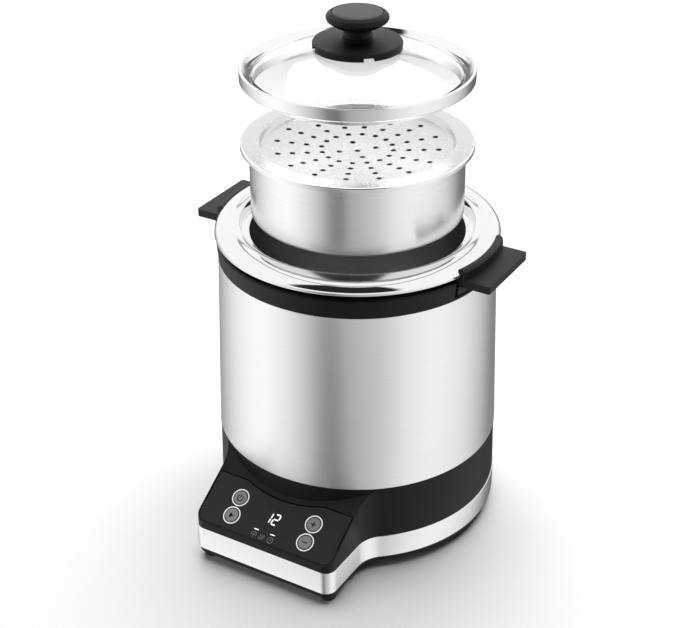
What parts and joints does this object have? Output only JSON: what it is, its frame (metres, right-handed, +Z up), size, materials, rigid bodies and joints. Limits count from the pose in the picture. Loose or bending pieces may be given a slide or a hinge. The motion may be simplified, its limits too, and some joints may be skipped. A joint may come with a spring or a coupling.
{
  "type": "rice cooker",
  "caption": "Compact rice cooker and steamer: round steel body, front control console, lift-out pot with side handles, steamer insert, perforated tray and domed glass lid.",
  "frame": {"origin": "centre of the footprint, on the surface that the feet stand on", "axes": "+Z up, the control console faces -Y, the side handles point along X"},
  "size_m": [0.2086, 0.2128, 0.337],
  "materials": {
    "housing_black": "satin",
    "plate_black": "matte",
    "trim_steel": "polished",
    "rubber_black": "matte",
    "screw_steel": "plain",
    "jacket_steel": "brushed round the body",
    "band_grey": "satin",
    "liner_aluminium": "matte",
    "heater_aluminium": "cast, machined top",
    "element_steel": "oxidised",
    "bracket_steel": "zinc plated",
    "fuse_ivory": "glazed",
    "sensor_aluminium": "satin",
    "spring_steel": "plain",
    "panel_dark": "satin",
    "window_black": "gloss",
    "display_white": "matte",
    "ring_white": "gloss",
    "button_grey": "fine texture",
    "switch_black": "matte",
    "board_green": "satin",
    "transformer_iron": "laminated",
    "capacitor_can": "sleeved",
    "terminal_white": "matte",
    "pot_steel": "mirror polished",
    "handle_black": "matte",
    "rivet_aluminium": "plain",
    "insert_steel": "satin",
    "tray_steel": "satin",
    "lid_steel": "polished",
    "lid_glass": "clear tempered",
    "knob_grey": "fine texture",
    "washer_silicone": "matte"
  },
  "bodies": {
    "body": {"base_housing": "housing_black", "base_plate": "plate_black", "base_trim": "trim_steel", "rubber_feet": "rubber_black", "cable_gland": "rubber_black", "base_screws": "screw_steel", "board_screws": "screw_steel", "outer_jacket": "jacket_steel", "top_band": "band_grey", "inner_liner": "liner_aluminium", "heating_plate": "heater_aluminium", "heating_element": "element_steel", "heater_standoffs": "bracket_steel", "sensor_guide": "bracket_steel", "thermal_fuse": "fuse_ivory", "sensor_spring": "spring_steel", "control_panel": "panel_dark", "display_window": "window_black", "display_module": "display_white", "button_rings": "ring_white", "tact_switches": "switch_black", "relay": "switch_black", "control_board": "board_green", "power_board": "board_green", "transformer": "transformer_iron", "capacitors": "capacitor_can", "terminal_block": "terminal_white"},
    "sensor": {"temperature_sensor": "sensor_aluminium"},
    "pot": {"cooking_pot": "pot_steel", "handle_left": "handle_black", "handle_right": "handle_black", "handle_rivets": "rivet_aluminium"},
    "insert": {"steamer_insert": "insert_steel"},
    "tray": {"steam_tray": "tray_steel"},
    "lid": {"lid_ring": "lid_steel", "lid_glass": "lid_glass", "knob_base": "knob_grey", "lid_knob": "knob_grey", "knob_cap": "knob_grey", "knob_screw": "screw_steel", "knob_washer": "washer_silicone"},
    "power_button": {"power_button": "button_grey"},
    "start_button": {"start_button": "button_grey"},
    "plus_button": {"plus_button": "button_grey"},
    "minus_button": {"minus_button": "button_grey"}
  },
  "joints": [
    {"name": "pot_lift", "type": "slide", "parent": "body", "child": "pot", "axis": [0, 0, 1], "range_m": [0, 0.13]},
    {"name": "insert_lift", "type": "slide", "parent": "pot", "child": "insert", "axis": [0, 0, 1], "range_m": [-0.0557, 0]},
    {"name": "tray_lift", "type": "slide", "parent": "insert", "child": "tray", "axis": [0, 0, 1], "range_m": [0, 0.03]},
    {"name": "lid_lift", "type": "slide", "parent": "tray", "child": "lid", "axis": [0, 0, 1], "range_m": [-0.0336, 0]},
    {"name": "sensor_plunge", "type": "slide", "parent": "body", "child": "sensor", "axis": [0, 0, 1], "range_m": [-0.0015, 0], "stiffness_N_per_m": 400, "springref_m": 0.002, "deforming": ["sensor_spring"]},
    {"name": "power_press", "type": "slide", "parent": "body", "child": "power_button", "axis": [0, -0.5446, 0.8387], "range_m": [-0.0008, 0], "stiffness_N_per_m": 500, "springref_m": 0.002},
    {"name": "start_press", "type": "slide", "parent": "body", "child": "start_button", "axis": [0, -0.5446, 0.8387], "range_m": [-0.0008, 0], "stiffness_N_per_m": 500, "springref_m": 0.002},
    {"name": "plus_press", "type": "slide", "parent": "body", "child": "plus_button", "axis": [0, -0.5446, 0.8387], "range_m": [-0.0008, 0], "stiffness_N_per_m": 500, "springref_m": 0.002},
    {"name": "minus_press", "type": "slide", "parent": "body", "child": "minus_button", "axis": [0, -0.5446, 0.8387], "range_m": [-0.0008, 0], "stiffness_N_per_m": 500, "springref_m": 0.002}
  ]
}
